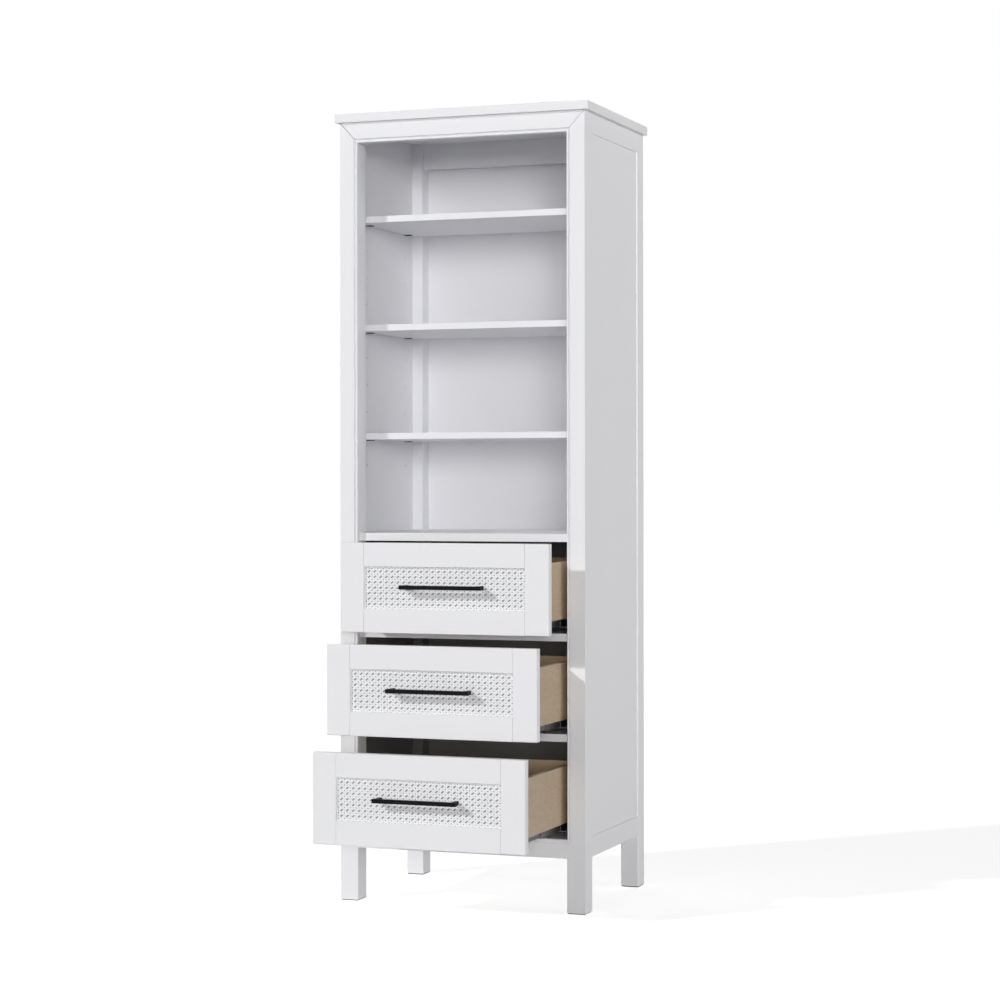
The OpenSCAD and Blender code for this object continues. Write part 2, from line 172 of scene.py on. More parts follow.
# Cane webbing
PITCH_X = 13.9
PITCH_Z = 12.2
STRAND_W = 2.3
STRAND_T = 0.9
STRAND_STEPS = 8
PAIR = 2.3
RISING_W = 2.5
RISING_PAIR = 2.7
FALLING_W = 1.5
SECTION = [(-0.5, -0.05), (-0.3, 0.42), (0.3, 0.42), (0.5, -0.05), (0.34, -0.5), (-0.34, -0.5)]
WEAVE = STRAND_T / 2
DIVE = STRAND_T * 0.95
BUMP_FALL = 0.2
TUCK = 1.5
CANE_DEPTH = 5.8
CANE_LIFT = 1.35
CANE_BACK = 2.4

# Roundings of the edges
NONE = 0.0
HAIR = 0.25
TIGHT = 0.45
EASE = {
    "top": 1.6, "post": 2.0, "back_post": 2.8, "back_post_rim": 1.6, "mitre": 1.6, "rail": 1.2,
    "inner": 1.0, "shelf": 1.3, "cleat": 0.6, "pad": 0.5, "support": 0.35, "backing": 0.2,
    "front": 2.5, "front_joint": 1.2, "front_recess": 1.0, "front_back": 0.8,
    "pull": 0.8, "pull_post": 0.7, "pull_seat": 0.1,
    "box": 1.6, "box_joint": 0.3, "box_foot": 0.5, "box_end_foot": 0.4,
}


def to_m(p):
    return Vector(p) * MM


# Nodes of the materials

def new_material(name, colour, rough, metal=0.0):
    m = bpy.data.materials.new(name)
    m.use_nodes = True
    shader = m.node_tree.nodes["Principled BSDF"]
    shader.inputs["Base Color"].default_value = (*colour, 1)
    shader.inputs["Roughness"].default_value = rough
    shader.inputs["Metallic"].default_value = metal
    return m, m.node_tree, shader


def coords(nt, scale=(1, 1, 1)):
    co = nt.nodes.new("ShaderNodeTexCoord")
    mp = nt.nodes.new("ShaderNodeMapping")
    mp.inputs["Scale"].default_value = scale
    nt.links.new(co.outputs["Object"], mp.inputs["Vector"])
    return mp.outputs["Vector"]


def split_axes(nt):
    co = nt.nodes.new("ShaderNodeTexCoord")
    sep = nt.nodes.new("ShaderNodeSeparateXYZ")
    nt.links.new(co.outputs["Object"], sep.inputs[0])
    return sep.outputs


def noise(nt, vector, scale, detail=3.0, rough=0.5, distort=0.0):
    n = nt.nodes.new("ShaderNodeTexNoise")
    n.inputs["Scale"].default_value = scale
    n.inputs["Detail"].default_value = detail
    n.inputs["Roughness"].default_value = rough
    n.inputs["Distortion"].default_value = distort
    nt.links.new(vector, n.inputs["Vector"])
    return n.outputs["Fac"]


def remap(nt, value, low, high, from_low=0.3, from_high=0.7):
    n = nt.nodes.new("ShaderNodeMapRange")
    n.inputs["From Min"].default_value = from_low
    n.inputs["From Max"].default_value = from_high
    n.inputs["To Min"].default_value = low
    n.inputs["To Max"].default_value = high
    nt.links.new(value, n.inputs["Value"])
    return n.outputs["Result"]


def math_node(nt, kind, a, b):
    n = nt.nodes.new("ShaderNodeMath")
    n.operation = kind
    for socket, v in zip(n.inputs, (a, b)):
        if isinstance(v, (int, float)):
            socket.default_value = v
        else:
            nt.links.new(v, socket)
    return n.outputs[0]


def mix(nt, fac, a, b):
    n = nt.nodes.new("ShaderNodeMix")
    n.data_type = "RGBA"
    for socket, v in zip((n.inputs[0], n.inputs[6], n.inputs[7]), (fac, a, b)):
        if isinstance(v, (tuple, list)):
            socket.default_value = (*v, 1)
        else:
            nt.links.new(v, socket)
    return n.outputs[2]


def bump(nt, shader, height, distance, strength=1.0):
    n = nt.nodes.new("ShaderNodeBump")
    n.inputs["Strength"].default_value = strength
    n.inputs["Distance"].default_value = distance
    nt.links.new(height, n.inputs["Height"])
    nt.links.new(n.outputs["Normal"], shader.inputs["Normal"])


def shade(colour, k):
    return tuple(c * k for c in colour)


# Masks of the unpainted board inside the drawer bay, whose dark colour is bare board and painted
# shade of the closed bay. PAST values are how far they reach past a face

RAW_SHADE_TOP = 832
PANEL_PAST = 0.2
POST_PAST = 0.5
EASE_PAST = 2


def raw_board_and_shade_inner_side(nt):
    x, y, z = split_axes(nt)
    x = math_node(nt, "ABSOLUTE", x, 0.0)
    inner = math_node(nt, "LESS_THAN", x, (WALL_X + PANEL_PAST) * MM)
    return math_node(nt, "MULTIPLY", inner, math_node(nt, "LESS_THAN", z, RAW_SHADE_TOP * MM))


def raw_board_and_shade_inner_back(nt):
    x, y, z = split_axes(nt)
    inner = math_node(nt, "LESS_THAN", y, (BACK_Y0 + PANEL_PAST) * MM)
    return math_node(nt, "MULTIPLY", inner, math_node(nt, "LESS_THAN", z, RAW_SHADE_TOP * MM))


def raw_board_and_shade_inner_post(nt):
    x, y, z = split_axes(nt)
    x = math_node(nt, "ABSOLUTE", x, 0.0)
    face = math_node(nt, "MULTIPLY", math_node(nt, "LESS_THAN", y, (BAY_Y1 + EASE_PAST) * MM),
                     math_node(nt, "LESS_THAN", x, (WALL_X + POST_PAST) * MM))
    edge = math_node(nt, "LESS_THAN", x, (OPEN_X + EASE_PAST) * MM)
    inner = math_node(nt, "MAXIMUM", face, edge)
    height = math_node(nt, "MULTIPLY", math_node(nt, "GREATER_THAN", z, OPEN_Z0 * MM),
                       math_node(nt, "LESS_THAN", z, RAW_SHADE_TOP * MM))
    return math_node(nt, "MULTIPLY", inner, height)


# Materials. Noise scales are per metre and bump depths in metres

PAINT = (0.92, 0.92, 0.945)
# The webbing's strands are whiter than the paint as a painted highlight on their lit tops
CANE = (0.97, 0.97, 0.985)
# Grey of the board behind the webbing: painted shade in the webbing's holes
CANE_BACKING_SHADE = (0.36, 0.36, 0.37)
# Unpainted board inside the drawer bay: brown as bare board, and darkened as painted shade of the
# closed bay
RAW_BOARD_AND_SHADE = (0.27, 0.255, 0.245)
BIRCH = ((0.56, 0.435, 0.30), (0.45, 0.34, 0.225))
PINE = ((0.55, 0.40, 0.23), (0.42, 0.28, 0.14))
BLACK = (0.003, 0.003, 0.0033)
RUBBER = (0.045, 0.045, 0.048)
# Zinc darkened as painted shade of the drawer bay where the slides sit; the screws take the same
# colour
ZINC_IN_SHADE = (0.13, 0.132, 0.138)

PAINT_CLOUD = 5
PAINT_SHEEN = 30
PAINT_PEEL = 330
PAINT_WAVE = 45
RAW_FIBRE = 900
RAW_ROUGH = 0.8
WOOD_CLOUD = 0.45
WOOD_FIGURE = 1.3
FIBRE_FINER = 9
PORES_FINER = 22
BLACK_CLOUD = 60
BLACK_SHEEN = 120
ZINC_BRUSH = (900, 14, 900)
ZINC_CLOUD = 90


def paint_material(name, colour=PAINT, rough=0.36, peel=0.00003, raw_and_shade=None):
    """Satin lacquer. The last argument is a function that gives the mask of the unpainted inside,
    coloured as bare board darkened with painted shade.
    """
    m, nt, shader = new_material(name, colour, rough)
    v = coords(nt)
    tone = mix(nt, noise(nt, v, PAINT_CLOUD, 4), shade(colour, 0.985), shade(colour, 1.01))
    roughness = remap(nt, noise(nt, v, PAINT_SHEEN, 4), rough - 0.04, rough + 0.05)
    # The unpainted inside is bare board, darkened as painted shade of the drawer bay
    if raw_and_shade:
        mask = raw_and_shade(nt)
        grain = noise(nt, v, RAW_FIBRE, 4, 0.7)
        fibre = mix(nt, grain, shade(RAW_BOARD_AND_SHADE, 0.75), shade(RAW_BOARD_AND_SHADE, 1.2))
        tone = mix(nt, mask, tone, fibre)
        roughness = math_node(nt, "MAXIMUM", roughness, math_node(nt, "MULTIPLY", mask, RAW_ROUGH))
    nt.links.new(tone, shader.inputs["Base Color"])
    nt.links.new(roughness, shader.inputs["Roughness"])
    wave = math_node(nt, "MULTIPLY", noise(nt, v, PAINT_WAVE, 2), 3.0)
    bump(nt, shader, math_node(nt, "ADD", noise(nt, v, PAINT_PEEL, 2), wave), peel)
    return m


def wood_material(name, light, dark, stretch, rough=0.5, seed=0.0):
    """Pale wood with soft figure.

    stretch is the texture's scale along X, Y and Z; the grain runs along the smallest.
    """
    m, nt, shader = new_material(name, light, rough)
    offset = nt.nodes.new("ShaderNodeVectorMath")
    offset.operation = "ADD"
    offset.inputs[1].default_value = (seed, seed * 1.7, seed * 0.6)
    nt.links.new(coords(nt, stretch), offset.inputs[0])
    v = offset.outputs[0]
    cloud = noise(nt, v, WOOD_CLOUD, 4, 0.6, 0.8)
    figure = noise(nt, v, WOOD_FIGURE, 5, 0.62, 2.2)
    fibre = noise(nt, coords(nt, tuple(s * FIBRE_FINER for s in stretch)), 1.0, 4, 0.7)
    pores = noise(nt, coords(nt, tuple(s * PORES_FINER for s in stretch)), 1.0, 3, 0.6)
    tone = math_node(nt, "ADD", math_node(nt, "MULTIPLY", figure, 0.6),
                     math_node(nt, "MULTIPLY", cloud, 0.4))
    base = mix(nt, remap(nt, tone, 0.0, 1.0, 0.32, 0.68), light, dark)
    base = mix(nt, remap(nt, fibre, 0.0, 0.35, 0.4, 0.75), base, shade(dark, 0.8))
    base = mix(nt, remap(nt, pores, 0.0, 0.5, 0.6, 0.8), base, shade(dark, 0.62))
    nt.links.new(base, shader.inputs["Base Color"])
    nt.links.new(remap(nt, fibre, rough - 0.06, rough + 0.1), shader.inputs["Roughness"])
    bump(nt, shader, math_node(nt, "ADD", fibre, pores), 0.00005, 0.6)
    return m


def black_material(name, colour, rough, grain, depth, gloss=0.5):
    m, nt, shader = new_material(name, colour, rough)
    shader.inputs["Specular IOR Level"].default_value = gloss
    v = coords(nt)
    tone = mix(nt, noise(nt, v, BLACK_CLOUD, 3), shade(colour, 0.85), shade(colour, 1.25))
    nt.links.new(tone, shader.inputs["Base Color"])
    sheen = remap(nt, noise(nt, v, BLACK_SHEEN, 3), rough - 0.06, rough + 0.06)
    nt.links.new(sheen, shader.inputs["Roughness"])
    bump(nt, shader, noise(nt, v, grain, 2), depth)
    return m


def shaded_zinc_material(name):
    # The zinc's dark colour is painted shade of the drawer bay
    m, nt, shader = new_material(name, ZINC_IN_SHADE, 0.48, 1.0)
    brushed = noise(nt, coords(nt, ZINC_BRUSH), 1.0, 4, 0.6)
    cloud = noise(nt, coords(nt), ZINC_CLOUD, 3)
    nt.links.new(mix(nt, cloud, shade(ZINC_IN_SHADE, 0.86), shade(ZINC_IN_SHADE, 1.08)), shader.inputs["Base Color"])
    nt.links.new(remap(nt, brushed, 0.4, 0.56), shader.inputs["Roughness"])
    bump(nt, shader, brushed, 0.00002)
    return m


MATERIALS = {
    "paint": paint_material("white_paint"),
    # Paints whose lower inside is bare board darkened as painted shade of the drawer bay
    "paint_side": paint_material("white_paint_side_raw_shade", raw_and_shade=raw_board_and_shade_inner_side),
    "paint_post": paint_material("white_paint_post_raw_shade", raw_and_shade=raw_board_and_shade_inner_post),
    "paint_back": paint_material("white_paint_back_raw_shade", raw_and_shade=raw_board_and_shade_inner_back),
    "cane": paint_material("white_cane", CANE, 0.42, 0.00006),
    "cane_back": paint_material("cane_backing_painted_shade", CANE_BACKING_SHADE, 0.6, 0.00006),
    "birch": wood_material("birch_y", *BIRCH, (26, 5, 26)),
    "birch_x": wood_material("birch_x", *BIRCH, (5, 26, 26), seed=3.1),
    "pine": wood_material("pine", *PINE, (30, 3, 30), 0.6, 7.3),
    "black": black_material("black_metal", BLACK, 0.46, 1500, 0.00004, 0.1),
    "pad": black_material("black_pad", RUBBER, 0.8, 900, 0.00008),
    "zinc": shaded_zinc_material("zinc_steel"),
}


# Mesh building. An edge is sharp where its faces turn by more than SHARP radians

WEIGHT = "bevel_weight_edge"
SHARP = 0.2
PLANE_SLACK = 0.05 * MM


def prism(bm, outline, axis, low, high):
    """Closed prism over an outline in the other two axes, in X, Y, Z order."""
    def at(p, h):
        q = list(p)
        q.insert("xyz".index(axis), h)
        return to_m(q)

    a = [bm.verts.new(at(p, low)) for p in outline]
    b = [bm.verts.new(at(p, high)) for p in outline]
    faces = [bm.faces.new(a), bm.faces.new(list(reversed(b)))]
    for i in range(len(outline)):
        j = (i + 1) % len(outline)
        faces.append(bm.faces.new((a[j], a[i], b[i], b[j])))
    bmesh.ops.recalc_face_normals(bm, faces=faces)


def block(bm, low, high):
    prism(bm, [(low[0], low[1]), (high[0], low[1]), (high[0], high[1]), (low[0], high[1])],
          "z", low[2], high[2])


def skin(bm, rings):
    """Quads between each ring of vertices and the next."""
    for a, b in zip(rings, rings[1:]):
        for i in range(len(a)):
            j = (i + 1) % len(a)
            bm.faces.new((a[i], a[j], b[j], b[i]))


def tube(bm, centre, axis, radii, steps=24):
    """Closed lathe of (distance, radius) stations along an axis from a centre."""
    z = Vector(axis).normalized()
    x = z.orthogonal().normalized()
    y = z.cross(x)
    rings = []
    for h, r in radii:
        ring = []
        for i in range(steps):
            a = 2 * math.pi * i / steps
            p = Vector(centre) + z * h + (x * math.cos(a) + y * math.sin(a)) * r
            ring.append(bm.verts.new(to_m(p)))
        rings.append(ring)
    bm.faces.new(list(reversed(rings[0])))
    bm.faces.new(rings[-1])
    skin(bm, rings)


def mirrored(bm):
    """Adds the mirror image in X of all there is."""
    copy = bmesh.ops.duplicate(bm, geom=bm.verts[:] + bm.edges[:] + bm.faces[:])["geom"]
    for v in copy:
        if isinstance(v, bmesh.types.BMVert):
            v.co.x = -v.co.x
    bmesh.ops.reverse_faces(bm, faces=[f for f in copy if isinstance(f, bmesh.types.BMFace)])


def flip(bm, s):
    """Moves all there is to the left where s is -1."""
    if s < 0:
        for v in bm.verts:
            v.co.x = -v.co.x
        bmesh.ops.reverse_faces(bm, faces=bm.faces[:])


def flipped_box(low, high, s):
    if s > 0:
        return low, high
    return (-high[0], low[1], low[2]), (-low[0], high[1], high[2])


def on_plane(edge, axis, value):
    """True for an edge in the plane. A plane in X stands for its mirror image too."""
    i = "xyz".index(axis)
    for v in edge.verts:
        place, plane = v.co[i], value * MM
        if axis == "x":
            place, plane = abs(place), abs(plane)
        if abs(place - plane) >= PLANE_SLACK:
            return False
    return True


def weigh(bm, ease, rules):
    """Gives each edge its part of the rounding.

    A rule is (axis, value, rounding), the most that the edges in that plane may have.
    """
    layers = bm.edges.layers.float
    layer = layers[WEIGHT] if WEIGHT in layers else layers.new(WEIGHT)
    for e in bm.edges:
        sharp = len(e.link_faces) == 2 and e.calc_face_angle() > SHARP
        width = ease if sharp else NONE
        for axis, value, most in rules:
            if sharp and on_plane(e, axis, value):
                width = min(width, most)
        e[layer] = width / ease
        if width == 0 and (sharp or len(e.link_faces) != 2):
            e.smooth = False


def to_object(name, bm):
    mesh = bpy.data.meshes.new(name)
    bm.to_mesh(mesh)
    bm.free()
    ob = bpy.data.objects.new(name, mesh)
    bpy.context.scene.collection.objects.link(ob)
    return ob


def settle(ob):
    """Replaces an object's mesh by what its modifiers make of it."""
    graph = bpy.context.evaluated_depsgraph_get()
    mesh = bpy.data.meshes.new_from_object(ob.evaluated_get(graph), depsgraph=graph)
    ob.modifiers.clear()
    old = ob.data
    ob.data = mesh
    bpy.data.meshes.remove(old)
    mesh.name = ob.name


def cut_away(ob, boxes):
    """Cuts boxes, each given by its lowest and highest corner, out of an object."""
    tools = []
    for i, (low, high) in enumerate(boxes):
        bm = bmesh.new()
        block(bm, low, high)
        tools.append(to_object(f"cutter_{i}", bm))
        mod = ob.modifiers.new(f"cut_{i}", "BOOLEAN")
        mod.operation = "DIFFERENCE"
        mod.solver = "EXACT"
        mod.object = tools[-1]
    settle(ob)
    for tool in tools:
        mesh = tool.data
        bpy.data.objects.remove(tool)
        bpy.data.meshes.remove(mesh)


def smooth_all(ob):
    for p in ob.data.polygons:
        p.use_smooth = True


def smooth_by_angle(ob, degrees):
    smooth_all(ob)
    ob.data.set_sharp_from_angle(angle=math.radians(degrees))


def coat(ob, key):
    ob.data.materials.clear()
    ob.data.materials.append(MATERIALS[key])


def dress(ob, body, key, nodes):
    coat(ob, key)
    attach(ob, body)
    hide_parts(*nodes)


def eased(name, bm, body, key, nodes, ease, rules=(), segments=3, cutters=()):
    """Finishes a board: cuts it, rounds its edges, and gives it its material."""
    ob = to_object(name, bm)
    if cutters:
        cut_away(ob, cutters)
    bm = bmesh.new()
    bm.from_mesh(ob.data)
    weigh(bm, ease, rules)
    bm.to_mesh(ob.data)
    bm.free()
    smooth_all(ob)
    mod = ob.modifiers.new("ease", "BEVEL")
    mod.limit_method = "WEIGHT"
    mod.width = ease * MM
    mod.segments = segments
    mod.use_clamp_overlap = True
    mod.harden_normals = True
    settle(ob)
    dress(ob, body, key, nodes)


def board(name, low, high, body, key, nodes, ease, rules=(), **more):
    bm = bmesh.new()
    block(bm, low, high)
    eased(name, bm, body, key, nodes, ease, rules, **more)


# Case

SIDES = (("left", -1), ("right", 1))


def build_top():
    board("top_board", TOP_LOW, TOP_HIGH, "case", "paint", ["top_panel"], EASE["top"])


def build_posts():
    ring = ((OPEN_X - CUT, FRONT_Y - CUT, OPEN_Z0 - RING_W),
            (OPEN_X + RING_W, FRONT_Y + RING_D, OPEN_Z1 + RING_W))
    rim = EASE["back_post_rim"]
    lap_x = OPEN_X + BACK_LAP
    for side, s in SIDES:
        bm = bmesh.new()
        prism(bm, [(OPEN_X, PAD_T), (POST_X, PAD_T), (POST_X, CASE_TOP), (OPEN_X, OPEN_Z1)],
              "y", FRONT_Y, FRONT_Y + RAIL_T)
        block(bm, (OPEN_X, FRONT_Y + RAIL_T, PAD_T), (POST_X, BAY_Y0, CASE_TOP))
        flip(bm, s)
        eased(f"front_{side}_post_board", bm, "case", "paint", [f"front_{side}_post"], EASE["post"],
              rules=[("y", FRONT_Y + RAIL_T, NONE), ("z", CASE_TOP, TIGHT),
                     ("y", FRONT_Y + RING_D, NONE)],
              cutters=[flipped_box(*ring, s)])
        bm = bmesh.new()
        prism(bm, [(OPEN_X, BAY_Y1), (POST_X, BAY_Y1), (POST_X, BACK_Y), (lap_x, BACK_Y),
                   (lap_x, BACK_Y0), (OPEN_X, BACK_Y0)], "z", LEG_H, CASE_TOP)
        block(bm, (OPEN_X, BAY_Y1, PAD_T), (POST_X, BACK_Y, LEG_H))
        flip(bm, s)
        # The back posts' inner faces in the drawer bay are bare board darkened as painted shade
        eased(f"back_{side}_post_board", bm, "case", "paint_post", [f"back_{side}_post"],
              EASE["back_post"],
              rules=[("z", LEG_H, NONE), ("z", CASE_TOP, TIGHT), ("y", BACK_Y0, HAIR),
                     ("y", BACK_Y, rim), ("x", OPEN_X, rim), ("z", PAD_T, rim)])


def build_face_rails():
    bm = bmesh.new()
    top, low = POST_X - MITRE_GAP, OPEN_X - MITRE_GAP
    prism(bm, [(-top, CASE_TOP), (top, CASE_TOP), (low, OPEN_Z1), (-low, OPEN_Z1)],
          "y", FRONT_Y, FRONT_Y + RAIL_T)
    eased("front_top_rail_board", bm, "case", "paint", ["front_top_rail"], EASE["mitre"],
          rules=[("z", CASE_TOP, TIGHT), ("y", FRONT_Y + RING_D, NONE)],
          cutters=[((-PAST_CASE, FRONT_Y - CUT, OPEN_Z1 - CUT),
                    (PAST_CASE, FRONT_Y + RING_D, OPEN_Z1 + RING_W))])
    board("front_bottom_rail_board", (-OPEN_X, FRONT_Y, LEG_H), (OPEN_X, FRONT_Y + RAIL_T, OPEN_Z0),
          "case", "paint", ["front_bottom_rail"], EASE["rail"],
          rules=[("x", OPEN_X, HAIR), ("y", FRONT_Y + RING_D, NONE)],
          cutters=[((-PAST_CASE, FRONT_Y - CUT, OPEN_Z0 - RING_W),
                    (PAST_CASE, FRONT_Y + RING_D, OPEN_Z0 + CUT))])


def build_bead():
    """Bead and groove round the front opening, mitred at its four corners."""
    half = BEAD_W / 2
    profile = [(0.0, RING_D)]
    for i in range(BEAD_STEPS + 1):
        a = math.pi * i / BEAD_STEPS
        profile.append((half - half * math.cos(a), BEAD_RISE * (1 - math.sin(a))))
    profile += [(BEAD_W + GROOVE_SLANT, GROOVE_D), (RING_W, GROOVE_D), (RING_W, RING_D)]
    bm = bmesh.new()
    rings = []
    for w, d in profile:
        x, y, z0, z1 = OPEN_X + w, FRONT_Y + d, OPEN_Z0 - w, OPEN_Z1 + w
        corners = ((-x, y, z0), (x, y, z0), (x, y, z1), (-x, y, z1))
        rings.append([bm.verts.new(to_m(p)) for p in corners])
    skin(bm, rings + rings[:1])
    bmesh.ops.recalc_face_normals(bm, faces=bm.faces[:])
    ob = to_object("opening_bead", bm)
    smooth_by_angle(ob, 35)
    dress(ob, "case", "paint",
          ["front_left_post", "front_right_post", "front_top_rail", "front_bottom_rail"])


def build_sides():
    for side, s in SIDES:
        for level, z0 in (("top", CASE_TOP - SIDE_RAIL), ("bottom", LEG_H)):
            low, high = flipped_box((WALL_X, BAY_Y0, z0), (POST_X, BAY_Y1, z0 + SIDE_RAIL), s)
            board(f"{side}_{level}_side_rail_board", low, high, "case", "paint",
                  [f"{side}_{level}_side_rail"], EASE["rail"],
                  rules=[("y", BAY_Y0, TIGHT), ("y", BAY_Y1, TIGHT), ("z", CASE_TOP, HAIR)])


def build_back():
    for name, (y, z0, z1) in BACK_RAILS.items():
        board(f"{name}_board", (-OPEN_X, y, z0), (OPEN_X, y + RAIL_T, z1), "case", "paint",
              [name], EASE["inner"], rules=[("x", OPEN_X, TIGHT)])


def notched(y0, y1):
    """Outline of a board notched round the posts, from y0 to y1."""
    right = [(OPEN_X, y0), (OPEN_X, BAY_Y0), (WALL_X, BAY_Y0), (WALL_X, BAY_Y1)]
    if y1 > BAY_Y1:
        right += [(OPEN_X, BAY_Y1), (OPEN_X, y1)]
    return right + [(-x, y) for x, y in reversed(right)]


def build_inner_boards():
    bm = bmesh.new()
    prism(bm, notched(INNER_Y, BACK_Y0), "z", *FIXED_SHELF)
    eased("fixed_shelf_board", bm, "case", "paint", ["fixed_shelf"], EASE["inner"],
          rules=[("x", OPEN_X, HAIR), ("x", WALL_X, HAIR), ("y", BACK_Y0, HAIR)])
    bm = bmesh.new()
    prism(bm, notched(FRONT_Y + RAIL_T, BAY_Y1), "z", OPEN_Z0 - BOTTOM_BOARD_T, OPEN_Z0)
    eased("bottom_board", bm, "case", "paint", ["bottom_panel"], HAIR)
    for name, z in DIVIDERS.items():
        board(f"{name}_board", (-OPEN_X, INNER_Y, z), (OPEN_X, DIVIDER_Y1, z + DIVIDER_T),
              "case", "paint", [name], EASE["inner"], rules=[("x", OPEN_X, HAIR)])


def build_shelves():
    for name, z in SHELVES.items():
        board(f"{name}_shelf_board", (-SHELF_X, SHELF_Y[0], z), (SHELF_X, SHELF_Y[1], z + SHELF_T),
              f"{name}_shelf", "paint", [f"{name}_shelf"], EASE["shelf"])


def build_cleats():
    bm = bmesh.new()
    for d in DRAWERS.values():
        z = d["z0"] + CLEAT_RISE
        block(bm, (OPEN_X, BAY_Y0, z), (WALL_X, BAY_Y1, z + CLEAT_H))
    mirrored(bm)
    eased("cleat_boards", bm, "case", "pine", ["slide_cleats"], EASE["cleat"])


def build_pads():
    bm = bmesh.new()
    for y in (FRONT_Y, BAY_Y1):
        block(bm, (OPEN_X + PAD_IN, y + PAD_IN, 0), (POST_X - PAD_IN, y + POST_D - PAD_IN, PAD_T))
    mirrored(bm)
    eased("leg_pad_discs", bm, "case", "pad", ["leg_pads"], EASE["pad"])


def support_outline(z):
    """Bent angle under a shelf at height z, as (x, z) points."""
    plate = WALL_X - SUPPORT_T
    low, reach = z - SUPPORT_T, plate - SUPPORT_REACH
    top = z + PIN_RISE + SUPPORT_RISE
    outer = BEND_R + SUPPORT_T
    bend_x, bend_z = WALL_X - outer, low + outer
    arc = [math.radians(270 + 90 * i / BEND_STEPS) for i in range(BEND_STEPS + 1)]
    outside = [(bend_x + outer * math.cos(a), bend_z + outer * math.sin(a)) for a in arc]
    inside = [(bend_x + BEND_R * math.cos(a), bend_z + BEND_R * math.sin(a)) for a in reversed(arc)]
    return [(reach, low), *outside, (WALL_X, top), (plate, top), *inside, (reach, z)]


def build_supports():
    """Bent steel shelf supports, each with its pin in a hole of the side panel."""
    bm = bmesh.new()
    for z in SHELVES.values():
        for y in PIN_YS:
            prism(bm, support_outline(z), "y", y - SUPPORT_HALF, y + SUPPORT_HALF)
            tube(bm, (WALL_X - SUPPORT_T, y, z + PIN_RISE), (1, 0, 0), PIN_PROFILE)
    mirrored(bm)
    eased("shelf_support_angles", bm, "case", "black", ["shelf_supports"], EASE["support"],
          segments=2)


# Screws

def screw_head(bm, centre, axis, dia, height):
    """Pan head with a sunk cross recess."""
    r = dia / 2
    arm, slot = r * CROSS_ARM, r * CROSS_SLOT
    z = Vector(axis).normalized()
    x = Vector((1, 0, 0)) if abs(z.x) < 0.5 else Vector((0, 1, 0))
    y = z.cross(x)

    def at(a, b, h):
        return bm.verts.new(to_m(Vector(centre) + x * a + y * b + z * h))

    cross = [(slot, slot), (slot, arm), (-slot, arm), (-slot, slot), (-arm, slot), (-arm, -slot),
             (-slot, -slot), (-slot, -arm), (slot, -arm), (slot, -slot), (arm, -slot), (arm, slot)]
    angles = [2 * math.pi * i / HEAD_STEPS for i in range(HEAD_STEPS)]
    rim = [(r * math.cos(a), r * math.sin(a)) for a in angles]
    rings = [[at(a * k, b * k, height * h) for a, b in rim] for k, h in HEAD_PROFILE]
    bm.faces.new(list(reversed(rings[0])))
    skin(bm, rings)
    floor = height - height * CROSS_DEPTH
    lip = [at(a, b, height) for a, b in cross]
    sunk = [at(a * CROSS_TAPER, b * CROSS_TAPER, floor) for a, b in cross]
    skin(bm, [lip, sunk])
    bm.faces.new(sunk)
    edges = [bm.edges.get((ring[i], ring[(i + 1) % len(ring)]))
             for ring in (rings[-1], lip) for i in range(len(ring))]
    bmesh.ops.triangle_fill(bm, edges=edges, use_beauty=True, use_dissolve=False)


def screws(name, centres, size, body, nodes):
    """Screws whose heads face the back."""
    axis = (0, 1, 0)
    shank, r = size["shank"], size["shank_dia"] / 2
    stations = [(0.0, r), (shank - SHANK_POINT, r), (shank, size["shank_dia"] / 3)]
    bm = bmesh.new()
    for centre in centres:
        screw_head(bm, centre, axis, size["dia"], size["height"])
        tube(bm, centre, [-a for a in axis], stations, SHANK_STEPS)
    bmesh.ops.recalc_face_normals(bm, faces=bm.faces[:])
    ob = to_object(name, bm)
    smooth_by_angle(ob, 40)
    dress(ob, body, "zinc", nodes)


def build_back_screws():
    centres = [(s * BACK_SCREW_X, BACK_Y1, BACK_SCREW_Z0 + BACK_SCREW_PITCH * i)
               for i in range(BACK_SCREW_ROWS) for s in (-1, 1)]
    screws("back_screw_heads", centres, BACK_SCREW, "case", ["back_screws"])


# Cane webbing

def strand(verts, faces, path, width):
    """One flat strand along a path of (x, z, height) points."""
    path = np.array(path, float)
    step = np.gradient(path[:, :2], axis=0)
    step /= np.linalg.norm(step, axis=1)[:, None]
    across = np.stack([-step[:, 1], step[:, 0]], 1)
    first = len(verts)
    for (x, z, h), (ax, az) in zip(path, across):
        for a, b in SECTION:
            verts.append((x + ax * a * width, h + b * STRAND_T, z + az * a * width))
    k = len(SECTION)
    for i in range(len(path) - 1):
        for j in range(k):
            a, b = first + i * k + j, first + i * k + (j + 1) % k
            faces.append((a, b, b + k, a + k))
    faces.append(tuple(first + j for j in reversed(range(k))))
    faces.append(tuple(first + (len(path) - 1) * k + j for j in range(k)))


def odd_bump(phase, pitch):
    """Height of a plain weave near a crossing of two pairs: odd, with its peaks at the strands."""
    phase = phase - round(phase)
    peak = PAIR / pitch
    size = abs(phase)
    if size < peak:
        return phase / peak
    fall = min(1.0, (size - peak) / BUMP_FALL)
    return math.copysign(1 - fall * fall * (3 - 2 * fall), phase)


def samples(low, high, step):
    """Even stations from low to high, about a step apart."""
    n = max(2, round((high - low) / step))
    return [low + (high - low) * i / n for i in range(n + 1)]


